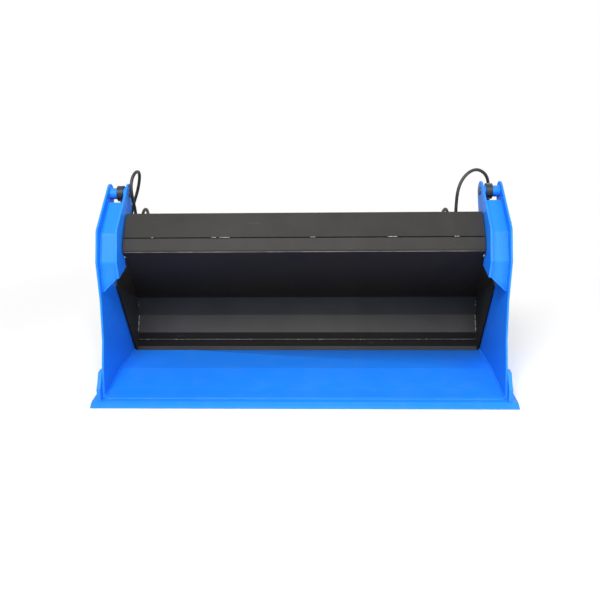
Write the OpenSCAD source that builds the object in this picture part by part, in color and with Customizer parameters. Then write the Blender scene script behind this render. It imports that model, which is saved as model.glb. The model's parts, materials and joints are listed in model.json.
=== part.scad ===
// Hydraulic opening bucket: a blue jaw hinged on a black back frame, two cylinders in its arms.
// Lengths are millimetres. X runs along the bucket, Y to the back, Z up.
// Drawn with the cutting edge at Y = 0 and moved at the end, so that the origin lies
// on the ground under the middle of the whole bucket.

/* [Jaw] */
// Width of the jaw over its side plates
jaw_w = 1600; // [1300:10:2000]
// Thickness of the side plates
side_t = 8; // [6:1:12]
// Thickness of the floor sheet
floor_t = 8; // [6:1:12]
// Where the floor sheet starts, behind the cutting edge
floor_y = 50; // [40:1:70]
// Place of the crease across the floor
crease_y = 295; // [240:1:340]
// Height of the floor's top at the crease
crease_z = 36; // [30:1:40]
// Back end of the floor
floor_end_y = 572; // [566:1:600]

/* [Cutting edge] */
// How far the edge bar reaches past each side plate
edge_over = 38; // [30:1:60]
// Depth of the edge bar
edge_d = 110; // [95:1:150]
// Thickness of the edge bar
edge_t = 16; // [12:1:20]
// Depth of the bevel
bevel_d = 28; // [20:1:36]
// Thickness left at the tip
edge_tip = 4; // [2:1:8]
// Depth of the heel bar under the floor's end
heel_d = 80; // [50:1:110]
// Thickness of the heel bar at its back
heel_t = 6; // [4:1:10]
// Thickness of a side cutter
cutter_t = 15; // [10:1:20]
// Height of a side cutter's top
cutter_z = 120; // [100:1:150]

/* [Arms] */
// Front of the arm below its waist
arm_y = 148; // [130:1:165]
// Height where the arm's front starts to fall back to the floor
arm_low_z = 398; // [360:1:410]
// Height of the arm's waist
waist_z = 552; // [536:1:570]
// Front of the arm at its shoulder
shoulder_y = 194; // [184:1:204]
// Height of the shoulder
shoulder_z = 668; // [655:1:680]
// Clear width between the two plates of an arm
arm_gap = 68; // [66:1:74]
// Thickness of an inner plate
inner_t = 8; // [6:1:12]
// How far the cover's foot is set back behind the plates' front edges
cover_back = 32; // [26:1:38]
// Thickness of the cover and the foot plate
cover_t = 6; // [4:1:8]
// Lower end of the cover at the side plate
foot_out_z = 423; // [410:1:440]
// Lower end of the cover at the inner plate
foot_in_z = 484; // [470:1:495]

/* [Pivots] */
// Hinge of the jaw, distance behind the cutting edge
pivot_y = 330; // [325:1:335]
// Height of the hinge
pivot_z = 652; // [648:1:656]
// Diameter of the hinge pins
pivot_d = 30; // [24:1:32]
// Ear hole, distance behind the cutting edge
ear_y = 423; // [416:1:428]
// Height of the ear hole
ear_z = 767; // [761:1:772]
// Radius of the ear's end
ear_r = 40; // [34:1:42]
// Diameter of the ear pins
ear_pin_d = 30; // [22:1:32]
// Cylinder's base pin, distance behind the cutting edge
base_y = 560; // [556:1:566]
// Height of the base pin
base_z = 370; // [364:1:376]
// Diameter of the base pins
base_pin_d = 25; // [20:1:30]
// Opening angle of the jaw
open_angle = 55; // [50:1:57]

/* [Cylinders] */
// Outer diameter of the barrel
barrel_d = 46; // [44:1:48]
// Inner diameter of the barrel
bore_d = 36; // [34:1:38]
// Diameter of the rod
rod_d = 25; // [18:1:28]
// Outer diameter of the barrel's eye
eye_d = 46; // [42:1:50]
// Width of the barrel's eye
eye_w = 38; // [30:1:40]
// Outer diameter of the rod's eye
rod_eye_d = 64; // [50:1:66]
// Width of the rod's eye
rod_eye_w = 25; // [22:1:32]
// Thickness of the piston
piston_l = 20; // [16:1:22]
// Outer diameter of the hoses
hose_d = 13; // [10:1:14]

/* [Back frame] */
// Thickness of the folded sheet and the beam face
sheet_t = 8; // [6:1:10]
// Length of the beam
beam_w = 1424; // [1100:2:1800]
// Top edge of the beam face, distance behind the cutting edge
brow_y = 330; // [326:1:336]
// Height of the beam's top edge
brow_z = 704; // [700:1:712]
// Seam between beam face and lip, distance behind the cutting edge
seam_y = 250; // [244:1:254]
// Height of the seam
seam_z = 623; // [617:1:627]
// Edge between lip and roof, distance behind the cutting edge
lip_y = 221; // [214:1:226]
// Height of the edge between lip and roof
lip_z = 571; // [566:1:576]
// Back corner under the roof, distance behind the cutting edge
roof_y = 616; // [608:1:622]
// Height of the back corner under the roof
roof_z = 245; // [238:1:252]
// Thickness of the end plates
end_t = 8; // [6:1:9]
// Gap between an end plate and the side plate
end_gap = 4; // [3:0.5:5]
// Foremost corner of the end plate, distance behind the cutting edge
wing_y = 336; // [325:1:350]
// Height of that corner
wing_z = 396; // [380:1:405]
// Back face of the beam
beam_back_y = 425; // [420:1:432]
// Thickness of the blade bar
blade_t = 20; // [16:1:22]
// Tip of the blade, distance behind the cutting edge
blade_y = 524; // [518:1:530]

/* [Hitch] */
// Distance between the middles of the two hitch plates
hitch_w = 1000; // [700:10:1200]
// Thickness of a hitch plate
hitch_t = 15; // [12:1:20]
// Diameter of the shaft that the hooks hold
hook_d = 42; // [36:1:45]
// Place of the hook's middle, behind the cutting edge
hook_y = 700; // [696:1:720]
// Height of the hook's middle
hook_z = 570; // [562:1:600]
// Diameter of the lower lock eyes
lock_d = 26; // [20:1:32]
// Height of the lock eyes
lock_z = 92; // [80:1:110]

/* [Hidden] */
// Clearances: a pin in its hole, a running fit, and pieces that pass side by side
hole_gap = 0.1;
run_gap = 0.05;
side_gap = 0.3;
// Overrun of a cut, and a reach past everything
over = 1;
reach = 3000;
round_n = 48;

// The blue jaw
half = jaw_w / 2;
inside = half - side_t;
heel_back = 44;
side_back_y = 430;
side_back_z = 560;
side_hip_y = 470;
side_hip_z = 400;
// Two points of the side's lower front edge, as shares of its run from the floor to the arm
throat_shares = [[0.29, 0.30], [0.73, 0.586]];
waist_r = 14;
cover_r = 24;
// How far the cover's two folds lie behind and below the arm's corners, and its top end before the ear
cover_waist_back = 34;
cover_waist_drop = 10;
cover_brow_back = 38;
cover_brow_drop = 22;
cover_top_back = 50;
cover_top_drop = 26;
// Side cutter: front foot, knee and brow as shares of the run from the bevel to its top
cutter_shares = [[0.09, 0.49], [0.53, 0.68], [1, 1]];
cutter_run = 47;
tab_y = 259;
tab_z = 560;
tab_foot_y = 265;
tab_foot_z = 500;
toe_y = 159;
hub_r = 62;
tube_r = 26;
pivot_boss_t = 17;
pivot_out = 28;
pivot_in = 80;
pin_chamfer = 3;
foot_front = 6;
foot_rear_y = 262;
inner_out = inside - arm_gap;
inner_in = inner_out - inner_t;
pivot = [pivot_y, pivot_z];
ear = [ear_y, ear_z];
base = [base_y, base_z];
floor_end_z = heel_t + floor_t;
bolt_d = 8;
bolt_over = 4;
bolt_head_h = 6;
bolt_head_d = 15;
nipple_d = 7;
nipple_l = 9;
nipple_ball_d = 6;
ear_boss_r = 23;
ear_head_r = 19;
ear_head_t = 6;
ear_pin_out = 3;

// The cylinders: s runs from the base pin towards the ear pin
cyl_in = 26;
cyl_x = inner_out + cyl_in;
eye_r = eye_d / 2;
rod_eye_r = rod_eye_d / 2;
bore_clear = 2;
wall_end = 18;
gland_l = 22;
gland_head = 15;
gland_head_over = 1;
port_r = 10;
port_bore_r = 4;
port_l = 8;
elbow_r = 8;
ball_over = 1.5;
elbow_off = 50;
elbow_l = 30;
nut_r = 11;
nut_l = 14;
neck_r = 15;
spigot_share = 0.7;

// The back frame
gap = 1;
mold_half = inside - end_gap - end_t;
beam_half = beam_w / 2;
back_y = roof_y - 12;
back_z = 162;
skirt_y = 562;
skirt_z = 90;
blade_top_y = 557;
blade_top_z = 60;
blade_face_z = 28;
blade_face_back = 21;
bend_r = 14;
back_t = 6;
beam_slope = 0.3;
beam_low_z = 570;
beam_foot_y = 353;
notch_z = 538;
cap_t = 8;
cap_inset = 8;
housing_r = 28;
housing_l = 90;
bush_t = 4;
bush_l = 60;
closure_t = 6;
end_back_y = 660;
end_foot_y = 578;
lug_r = 32;
lug_t = 10;
lug_root_y = 505;
rib_t = 8;
rib_x = 250;
rib_back = 60;
tube_w = 60;
tube_wall = 5;
tube_y = 600;
tube_z = 62;
hitch_face_y = 679;
hook_t = 25;
hook_mouth = 34;
lock_y = 706;
lock_r = 34;
bar_r = 30;
bar_wall = 5;
bar_y = 610;
bar_z = 520;
keeper_r = 5;

// Oil pipes along the beam's back: the upper one feeds the base ports, the lower the gland ports
pipe_r = 6;
elbow_half = 8;
tee_half = 10;
pipe_y = beam_back_y + 15;
feed_z = 612;
return_z = 584;
feed_top = 636;
return_top = 650;
right_feed_x = 572;
right_return_x = 628;
left_feed_x = 651;
left_return_x = 704;
coupler_x = 90;
coupler_step = 60;
coupler_y = 500;
coupler_nose_r = 11.8;
coupler_nose_l = 24;
coupler_body_r = 16;
coupler_body_l = 30;
bracket_t = 6;
bracket_w = 120;
bracket_h = 80;
clamp_w = 30;
clamp_margin = 12;
clamp_places = [300, 545];

// Routes of the hoses' free stretches, [X, Y, Z] in the drawing's place, from beam to cylinder
hose_right_up = [[628, 440, 672], [628, 440, 715], [629, 441, 750], [636, 447, 783],
    [650, 457, 811], [673, 468, 835], [702, 478, 847], [728, 486, 841], [750, 494, 824],
    [764, 502, 800], [769, 509, 770], [768, 515, 735], [763, 519, 700], [757, 522, 665],
    [752, 524, 640]];
hose_left_up = [[-704, 440, 672], [-704, 437, 700], [-705, 427, 729], [-705, 415, 757],
    [-705, 409, 786], [-704, 415, 812], [-700, 431, 835], [-694, 451, 848], [-688, 472, 851],
    [-687, 492, 842], [-691, 508, 820], [-699, 517, 791], [-708, 522, 763], [-718, 526, 738],
    [-728, 528, 714], [-737, 529, 691], [-744, 529, 668], [-748, 529, 648]];
hose_right_low = [[573, 444, 655], [577, 457, 671], [585, 476, 680], [595, 497, 679],
    [604, 517, 669], [612, 534, 653], [620, 547, 632], [632, 555, 610], [651, 560, 588],
    [676, 563, 569], [703, 566, 549], [727, 570, 524], [743, 576, 497]];
hose_left_low = [[-651, 442, 656], [-654, 451, 674], [-660, 467, 685], [-669, 486, 688],
    [-680, 505, 683], [-691, 523, 671], [-700, 539, 655], [-706, 551, 634], [-711, 558, 609],
    [-718, 562, 581], [-727, 566, 552], [-735, 570, 526], [-743, 575, 500]];
hose_gap = 0.05;
hose_sides = 10;
hose_steps = 1;

// Plane geometry for outlines
function unit(v) = v / norm(v);
function angle_of(v) = atan2(v.y, v.x);
function polar(c, r, a) = c + r * [cos(a), sin(a)];
function backwards(p) = [for (i = [len(p) - 1:-1:0]) p[i]];
function arc(c, r, from, to, n = 10) = [for (i = [0:n]) polar(c, r, from + (to - from) * i / n)];
// Turn of the line from point p that touches a circle on its left
function touch(p, c, r) = angle_of(c - p) + asin(r / norm(c - p));
// Bearing of the touching point shared by two circles, on the left of the way from a to b
function shared(a, ra, b, rb) = angle_of(b - a) + acos((ra - rb) / norm(b - a));
// A corner rounded to radius r
function soft(a, b, c, r, n = 5) =
    let (u = unit(a - b), v = unit(c - b), bend = acos(u * v) / 2,
         m = b + unit(u + v) * r / sin(bend),
         from = angle_of(b + u * r / tan(bend) - m),
         turn = angle_of(b + v * r / tan(bend) - m) - from,
         way = turn > 180 ? turn - 360 : turn < -180 ? turn + 360 : turn)
    [for (i = [0:n]) polar(m, r, from + way * i / n)];
function left(a, b) = let (d = unit(b - a)) [-d.y, d.x];
// A line of points moved by t to its left
function beside(p, t) = [for (i = [0:len(p) - 1])
    let (a = left(p[max(i - 1, 0)], p[max(i - 1, 0) + 1]),
         b = left(p[min(i, len(p) - 2)], p[min(i, len(p) - 2) + 1]))
    p[i] + t * (a + b) / (1 + a * b)];
function on_line(a, b, y) = a.y + (b.y - a.y) * (y - a.x) / (b.x - a.x);

// Heights of the floor's top and of the space kept under the blade
function floor_top(y) = y < crease_y
    ? on_line([edge_d, edge_t + floor_t], [crease_y, crease_z], y)
    : on_line([crease_y, crease_z], [floor_end_y, floor_end_z], y);
function above_floor(y) = [y, floor_top(y) + gap];

// The arm's front edge, which both plates share
waist = [arm_y, waist_z];
shoulder = [shoulder_y, shoulder_z];
front_turn = touch(shoulder, ear, ear_r);
rear_turn = shared(ear, ear_r, pivot, hub_r);
ear_arc = arc(ear, ear_r, front_turn + 90, rear_turn, 20);
ear_front = polar(ear, ear_r, front_turn + 90);

// The cylinder, closed and open
function swung(v) = [v.x * cos(open_angle) + v.y * sin(open_angle),
    v.y * cos(open_angle) - v.x * sin(open_angle)];
ear_open = pivot + swung(ear - pivot);
closed_l = norm(ear - base);
open_l = norm(ear_open - base);
stroke = closed_l - open_l;
tube_from = eye_r + wall_end;
piston_s = tube_from + bore_clear + stroke;
rod_end_s = closed_l - (rod_eye_r + ear_pin_d / 2) / 2;
barrel_top = open_l - rod_eye_r - bore_clear - gland_head;
gland_from = barrel_top - gland_l;
base_port_s = tube_from + bore_clear;
gland_port_s = gland_from - port_bore_r - bore_clear;
along = unit(ear - base);
lean = angle_of(along) - 90;
aside = [along.y, -along.x];
function on_cylinder(s, off) = base + s * along + off * aside;
function outlet(s, side) = let (p = on_cylinder(s + elbow_l + hose_gap, elbow_off)) [side * cyl_x, p.x, p.y];

// The folded sheet and the beam, outer face from the brow down to the blade
brow = [brow_y, brow_z];
seam = [seam_y, seam_z];
lip = [lip_y, lip_z];
roof = [roof_y, roof_z];
back = [back_y, back_z];
skirt = [skirt_y, skirt_z];
sheet_foot = [blade_top_y, blade_top_z];
mold_face = concat([brow, seam], soft(seam, lip, roof, bend_r), soft(lip, roof, back, bend_r),
    soft(roof, back, skirt, bend_r), soft(back, skirt, sheet_foot, bend_r), [sheet_foot]);
mold_rear = beside(mold_face, sheet_t);
roof_rise = sheet_t / unit(lip - roof).x * -1;
function roof_face(y) = [y, on_line(lip, roof, y)];
function roof_rear(y) = roof_face(y) + [0, roof_rise];
beam_top = mold_rear[0];
beam_line = [beam_top, [beam_back_y, beam_top.y - beam_slope * (beam_back_y - beam_top.x)],
    [beam_back_y, beam_low_z], roof_rear(beam_foot_y)];
beam_inner = beside(beam_line, -back_t);
cap_line = concat([for (i = [0:7]) mold_rear[i]], backwards(beam_inner));

// Helpers: an outline in Y and Z given a width along X, and a mirrored side
module across(x, w) { translate([x, 0, 0]) rotate([90, 0, 90]) linear_extrude(w) children(); }
module rod_x(x, w, r, c) { translate([x, c.x, c.y]) rotate([0, 90, 0]) cylinder(r = r, h = w, $fn = round_n); }
module hand(side) { if (side > 0) children(); else mirror([1, 0, 0]) children(); }
module placed() { translate([0, -(hook_y + hook_d / 2 + hook_t) / 2, 0]) children(); }
module in_cylinder(s, off = 0) {
    p = on_cylinder(s, off);
    translate([cyl_x, p.x, p.y]) rotate([lean, 0, 0]) children();
}
module block(half_side) { translate(-half_side * [1, 1, 1]) cube(2 * half_side); }
module drum(l, r) { cylinder(r = r, h = l, $fn = round_n); }

// Jaw
module jaw_floor() {
    top = [[floor_y, edge_t + floor_t], [edge_d, edge_t + floor_t], [crease_y, crease_z],
        [floor_end_y, floor_end_z]];
    color("dodgerblue") across(-inside, 2 * inside)
        polygon(concat(top, backwards([for (p = top) p - [0, floor_t]])));
}

module cutting_edge() {
    color("deepskyblue") across(-half - edge_over, 2 * (half + edge_over))
        polygon([[0, 0], [0, edge_tip], [bevel_d, edge_t], [edge_d, edge_t], [edge_d, 0]]);
}

module heel_bar() {
    start = floor_end_y - heel_d;
    color("royalblue") across(-half, 2 * half)
        polygon([[start, 0], [floor_end_y, 0], [floor_end_y, heel_t],
            [start, floor_top(start) - floor_t]]);
}

side_outline = concat(
    [[floor_y, edge_t]],
    [for (s = throat_shares) [floor_y + s.x * (arm_y - floor_y), edge_t + s.y * (arm_low_z - edge_t)]],
    [[arm_y, arm_low_z]],
    soft([arm_y, arm_low_z], waist, shoulder, waist_r),
    soft(waist, shoulder, ear_front, waist_r),
    ear_arc,
    [polar(pivot, hub_r + inner_t, rear_turn)],
    [[side_back_y, side_back_z], [side_hip_y, side_hip_z], [floor_end_y, heel_back],
     [floor_end_y, heel_t], [crease_y, crease_z - floor_t], [edge_d, edge_t]]);

module side_plate() {
    color("dodgerblue") difference() {
        across(inside, side_t) polygon(side_outline);
        rod_x(inside - over, side_t + 2 * over, pivot_d / 2 + hole_gap, pivot);
        rod_x(inside - over, side_t + 2 * over, ear_pin_d / 2 + hole_gap, ear);
    }
}

module side_cutter() {
    foot = [bevel_d, edge_t];
    color("deepskyblue") across(half, cutter_t)
        polygon(concat([foot], [for (s = cutter_shares)
            [bevel_d + s.x * cutter_run, edge_t + s.y * (cutter_z - edge_t)]],
            [[edge_d, cutter_z], [edge_d, edge_t]]));
}

arm_outline = concat(
    [[toe_y, foot_in_z]],
    soft([arm_y, foot_in_z], waist, shoulder, waist_r),
    soft(waist, shoulder, ear_front, waist_r),
    ear_arc,
    arc(pivot, hub_r, rear_turn, angle_of([tab_y, tab_z] - pivot)
        + acos(hub_r / norm([tab_y, tab_z] - pivot)), 6),
    [[tab_y, tab_z], [tab_foot_y, tab_foot_z]]);

module arm_plate() {
    color("dodgerblue") difference() {
        across(inner_in, inner_t) polygon(arm_outline);
        rod_x(inner_in - over, inner_t + 2 * over, pivot_d / 2 + hole_gap, pivot);
        rod_x(inner_in - over, inner_t + 2 * over, ear_pin_d / 2 + hole_gap, ear);
    }
}

// The slanted lower end of an arm, seen from the front: from side plate down to inner plate up
module foot_strip(y, d, t) {
    translate([0, y + d, 0]) rotate([90, 0, 0]) linear_extrude(d)
        polygon([[inside, foot_out_z], [inner_out, foot_in_z], [inner_out, foot_in_z + t],
            [inside, foot_out_z + t]]);
}

cover_base = [[arm_y + cover_back, foot_out_z], waist + [cover_waist_back, -cover_waist_drop],
    shoulder + [cover_brow_back, -cover_brow_drop], ear - [cover_top_back, cover_top_drop]];
module arm_cover() {
    low = cover_base[0] - [0, foot_in_z - foot_out_z];
    face = concat([low], soft(low, cover_base[1], cover_base[2], cover_r),
        soft(cover_base[1], cover_base[2], cover_base[3], cover_r), [cover_base[3]]);
    color("deepskyblue") difference() {
        across(inner_out, arm_gap) polygon(concat(face, backwards(beside(face, -cover_t))));
        foot_strip(0, crease_y, cover_t);
        translate([0, 0, -reach]) foot_strip(0, crease_y, reach);
    }
}

module arm_foot() {
    front = cover_base[0].x - foot_front;
    color("deepskyblue") foot_strip(front, foot_rear_y - front, cover_t);
}

module pivot_tube() {
    color("dodgerblue") difference() {
        union() {
            rod_x(inner_out, arm_gap, tube_r, pivot);
            rod_x(half, pivot_boss_t, tube_r, pivot);
        }
        rod_x(inner_in, 2 * arm_gap, pivot_d / 2 + hole_gap, pivot);
        bolt_line(bolt_d / 2 + hole_gap, 2 * tube_r + 2 * over);
    }
}

// Line of the cross bolt through the outer boss
module bolt_line(r, l) {
    translate([half + pivot_boss_t / 2, pivot_y, pivot_z - l / 2]) cylinder(r = r, h = l, $fn = round_n);
}

module pivot_pin() {
    start = beam_half - pivot_in;
    l = half + pivot_out - start;
    color("dimgray") difference() {
        union() {
            rod_x(start, l - pin_chamfer, pivot_d / 2, pivot);
            translate([start + l - pin_chamfer, pivot_y, pivot_z]) rotate([0, 90, 0])
                cylinder(r1 = pivot_d / 2, r2 = pivot_d / 2 - pin_chamfer, h = pin_chamfer, $fn = round_n);
        }
        bolt_line(bolt_d / 2 + hole_gap, 2 * pivot_d);
    }
}

module pivot_bolts() {
    color("silver") for (side = [-1, 1]) hand(side) {
        l = 2 * tube_r + 2 * bolt_over;
        bolt_line(bolt_d / 2, l);
        for (end = [pivot_z + tube_r, pivot_z - tube_r - bolt_head_h])
            translate([half + pivot_boss_t / 2, pivot_y, end])
                cylinder(d = bolt_head_d, h = bolt_head_h, $fn = 6);
    }
}

module ear_boss() {
    gap_in = cyl_x - rod_eye_w / 2 - side_gap;
    gap_out = cyl_x + rod_eye_w / 2 + side_gap;
    color("dodgerblue") difference() {
        union() {
            rod_x(inner_out, gap_in - inner_out, ear_boss_r, ear);
            rod_x(gap_out, inside - gap_out, ear_boss_r, ear);
        }
        rod_x(inner_out - over, arm_gap + 2 * over, ear_pin_d / 2 + hole_gap, ear);
        nipple_line((inner_out + gap_in) / 2, nipple_l, nipple_d / 2 + hole_gap);
    }
}

// Line of a grease nipple, out of the boss to the front
module nipple_line(x, l, r) {
    translate([x, ear_y - ear_boss_r + l / 2, ear_z]) rotate([90, 0, 0]) cylinder(r = r, h = l, $fn = round_n);
}

module grease_nipples() {
    x = (inner_out + cyl_x - rod_eye_w / 2 - side_gap) / 2;
    color("dimgray") for (side = [-1, 1]) hand(side) {
        nipple_line(x, nipple_l, nipple_d / 2);
        translate([x, ear_y - ear_boss_r - nipple_l / 2, ear_z]) sphere(d = nipple_ball_d, $fn = 20);
    }
}

module ear_pin() {
    stop = cyl_x - rod_eye_w / 2 - side_gap;
    restart = cyl_x + rod_eye_w / 2 + side_gap;
    color("dimgray") {
        rod_x(inner_in - ear_pin_out, stop - inner_in + ear_pin_out, ear_pin_d / 2, ear);
        rod_x(restart, half - restart, ear_pin_d / 2, ear);
        rod_x(half, ear_head_t, ear_head_r, ear);
    }
}

// Back frame
module beam_face() {
    color("black") across(-beam_half, beam_w)
        polygon([mold_face[0], mold_face[1], mold_rear[1], mold_rear[0]]);
}

// Section of the folded sheet, which is also cut out of what stands against it
module sheet_section() {
    n = len(mold_face) - 1;
    polygon(concat([for (i = [1:n]) mold_face[i]], backwards([for (i = [1:n]) mold_rear[i]])));
}

module moldboard() {
    color("black") difference() {
        across(-mold_half, 2 * mold_half) sheet_section();
        for (side = [-1, 1]) hand(side) roof_trim();
    }
}

// The roof narrows from the beam's length at the notch to full width at the back corner
module roof_trim() {
    low_y = lip_y + (lip_z - notch_z) * (roof_y - lip_y) / (lip_z - roof_z);
    run = norm(roof - [low_y, notch_z]);
    translate([0, low_y, notch_z]) rotate([angle_of(roof - lip), 0, 0])
        translate([0, 0, -reach / 2]) linear_extrude(reach)
            polygon([[beam_half, -reach], [beam_half, 0], [mold_half, run], [reach, run], [reach, -reach]]);
}

module beam_back() {
    color("black") across(-beam_half, beam_w) difference() {
        polygon(concat(beam_line, backwards(beam_inner)));
        sheet_section();
    }
}

module beam_caps() {
    color("black") for (side = [-1, 1]) hand(side) {
        difference() {
            across(beam_half - cap_inset - cap_t, cap_t) difference() {
                polygon(cap_line);
                sheet_section();
            }
            rod_x(beam_half - housing_l - over, housing_l + 2 * over, housing_r - over, pivot);
        }
        difference() {
            rod_x(beam_half - housing_l, housing_l, housing_r, pivot);
            rod_x(beam_half - housing_l - over, housing_l + 2 * over, pivot_d / 2 + run_gap + bush_t, pivot);
        }
    }
}

module pivot_bushes() {
    color("goldenrod") for (side = [-1, 1]) hand(side) difference() {
        rod_x(beam_half - bush_l, bush_l, pivot_d / 2 + run_gap + bush_t, pivot);
        rod_x(beam_half - bush_l - over, bush_l + 2 * over, pivot_d / 2 + run_gap, pivot);
    }
}

module blade_bar() {
    face = [blade_y + blade_face_back, blade_face_z];
    front = [blade_top_y - (blade_t - sheet_t) / 2, blade_top_z];
    color("dimgray") across(-mold_half, 2 * mold_half) difference() {
        polygon([above_floor(blade_y), face, front, front + [blade_t, 0],
            above_floor(front.x + blade_t)]);
        sheet_section();
    }
}

end_outline = concat(
    [above_floor(blade_y + gap), [wing_y, wing_z], roof, roof + [0, roof_rise],
     roof_rear(lug_root_y)],
    arc(base, lug_r, 180, 0, 12),
    [[end_back_y, roof_z], [end_back_y, tube_z], above_floor(end_foot_y - lug_t)]);
module end_plate() {
    color("black") difference() {
        across(mold_half, end_t) polygon(end_outline);
        rod_x(mold_half - over, end_t + 2 * over, base_pin_d / 2 + hole_gap, base);
    }
}

// A three-cornered plate between roof and end plate, under the arm
module corner_closures() {
    low_y = lip_y + (lip_z - notch_z) * (roof_y - lip_y) / (lip_z - roof_z);
    a = [beam_half, low_y, notch_z];
    b = [mold_half, roof_y, roof_z];
    c = [mold_half, wing_y, wing_z];
    out = closure_t * unit(cross(b - c, a - c));
    color("black") for (side = [-1, 1]) hand(side)
        polyhedron([a, b, c, a + out, b + out, c + out],
            [[0, 1, 2], [5, 4, 3], [0, 3, 4], [0, 4, 1], [1, 4, 5], [1, 5, 2], [2, 5, 3], [2, 3, 0]]);
}

module cylinder_lugs() {
    x = cyl_x - eye_w / 2 - bore_clear - lug_t;
    color("black") for (side = [-1, 1]) hand(side) difference() {
        across(x, lug_t) polygon(concat([roof_rear(lug_root_y)], arc(base, lug_r, 180, 0, 12),
            [roof_rear(base_y + lug_r)]));
        rod_x(x - over, lug_t + 2 * over, base_pin_d / 2 + hole_gap, base);
    }
}

// Everything in front of the sheet's rear face and inside the beam, for plates that stand behind it
module in_front() {
    polygon(concat(mold_rear, [[-reach, blade_top_z], [-reach, brow_z]]));
    polygon(concat(beam_line, [lip, brow]));
    polygon([[-reach, -reach], [-reach, blade_top_z], sheet_foot, sheet_foot + [blade_t, 0],
        [blade_top_y + blade_t, -reach]]);
}

module back_ribs() {
    color("black") for (x = [-rib_x, rib_x]) across(x - rib_t / 2, rib_t) difference() {
        polygon([[beam_foot_y + rib_back, beam_low_z - rib_back], roof_face(beam_foot_y),
            roof, back, skirt, sheet_foot, [end_foot_y, blade_top_z],
            [tube_y, tube_z + tube_w], [roof_y + rib_back, roof_z]]);
        in_front();
    }
}

module lower_tube() {
    color("black") difference() {
        across(-mold_half, 2 * mold_half) translate([tube_y, tube_z]) difference() {
            square(tube_w);
            translate([tube_wall, tube_wall]) square(tube_w - 2 * tube_wall);
        }
    }
}

hook_r = hook_d / 2;
hook_mid = [hook_y, hook_z];
module hitch_plates() {
    color("black") for (x = [-hitch_w / 2, hitch_w / 2]) difference() {
        across(x - hitch_t / 2, hitch_t) difference() {
            polygon(concat(
                [[beam_back_y, beam_line[1].y - beam_slope], roof_face(beam_foot_y), roof, back, skirt,
                 [end_foot_y, lock_z - lock_r - over]],
                [[lock_y, lock_z - lock_r]],
                arc([lock_y, lock_z], lock_r, -90, 60, 8),
                [[hitch_face_y, lock_z + 2 * lock_r], [hook_y - hook_r, hook_z - hook_mouth]],
                arc(hook_mid, hook_r, 180, 0, 16),
                [[hook_y + hook_r, hook_z - hook_mouth], [hook_y + hook_r + hook_t, hook_z - hook_mouth]],
                arc(hook_mid, hook_r + hook_t, 0, 110, 12)));
            in_front();
            translate([tube_y, tube_z]) square(tube_w);
            translate([beam_back_y - over, return_z - clamp_margin])
                square([pipe_y + clamp_margin - beam_back_y + over, feed_z - return_z + 2 * clamp_margin]);
        }
        rod_x(x - hitch_t, 2 * hitch_t, lock_d / 2, [lock_y, lock_z]);
        rod_x(x - hitch_t, 2 * hitch_t, bar_r, [bar_y, bar_z]);
    }
}

module hitch_bar() {
    l = hitch_w + hitch_t;
    color("black") difference() {
        rod_x(-l / 2, l, bar_r, [bar_y, bar_z]);
        rod_x(-l / 2 - over, l + 2 * over, bar_r - bar_wall, [bar_y, bar_z]);
    }
}

module base_pins() {
    start = cyl_x - eye_w / 2 - bore_clear - lug_t - 2 * keeper_r;
    color("dimgray") for (side = [-1, 1]) hand(side) difference() {
        rod_x(start, mold_half + end_t + over - start, base_pin_d / 2, base);
        translate([start + keeper_r, base_y, base_z - base_pin_d])
            cylinder(r = keeper_r / 2, h = 2 * base_pin_d, $fn = round_n);
    }
}

module pipe_clamps() {
    low = return_z - clamp_margin;
    color("dimgray") for (side = [-1, 1], x = clamp_places) difference() {
        translate([side * x - clamp_w / 2, beam_back_y, low])
            cube([clamp_w, pipe_y - beam_back_y + clamp_margin, feed_z - return_z + 2 * clamp_margin]);
        for (z = [feed_z, return_z])
            rod_x(side * x - clamp_w, 2 * clamp_w, pipe_r + hole_gap, [pipe_y, z]);
    }
}

// One oil pipe with its risers and the branch to its coupler
module oil_pipe(left_x, right_x, z, top, branch_x) {
    rod_x(-left_x, left_x + right_x, pipe_r, [pipe_y, z]);
    for (x = [-left_x, right_x]) translate([x, pipe_y, z]) {
        block(elbow_half);
        drum(top - z, pipe_r);
        translate([0, 0, top - z - nut_l]) cylinder(r = nut_r, h = nut_l, $fn = 6);
    }
    translate([branch_x, pipe_y, z]) rotate([-90, 0, 0]) drum(coupler_y - pipe_y, pipe_r);
    translate([branch_x, pipe_y, z]) block(tee_half);
}

module oil_pipes() {
    color("dimgray") {
        oil_pipe(left_feed_x, right_feed_x, feed_z, feed_top, coupler_x);
        oil_pipe(left_return_x, right_return_x, return_z, return_top, coupler_x + coupler_step);
    }
}

module coupler_bracket() {
    mid = coupler_x + coupler_step / 2;
    wide = bracket_w / 2;
    low = (feed_z + return_z - bracket_h) / 2;
    color("black") difference() {
        translate([mid, 0, low]) linear_extrude(bracket_h) difference() {
            translate([-wide, beam_back_y]) square([2 * wide, coupler_y + bracket_t - beam_back_y]);
            translate([-wide + bracket_t, beam_back_y - over])
                square([2 * (wide - bracket_t), coupler_y - beam_back_y + over]);
        }
        for (i = [0, 1]) translate([coupler_x + i * coupler_step, coupler_y - over, i == 0 ? feed_z : return_z])
            rotate([-90, 0, 0]) drum(bracket_t + 2 * over, coupler_nose_r);
        for (z = [feed_z, return_z])
            rod_x(mid - 2 * wide, 4 * wide, pipe_r + clamp_margin / 4, [pipe_y, z]);
    }
}

module quick_couplers() {
    color("silver") for (i = [0, 1])
        translate([coupler_x + i * coupler_step, coupler_y, i == 0 ? feed_z : return_z]) rotate([-90, 0, 0]) {
            drum(bracket_t, coupler_nose_r);
            translate([0, 0, bracket_t]) cylinder(r = coupler_body_r, h = coupler_body_l, $fn = 6);
            translate([0, 0, bracket_t + coupler_body_l]) drum(coupler_nose_l, coupler_nose_r);
        }
}

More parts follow.
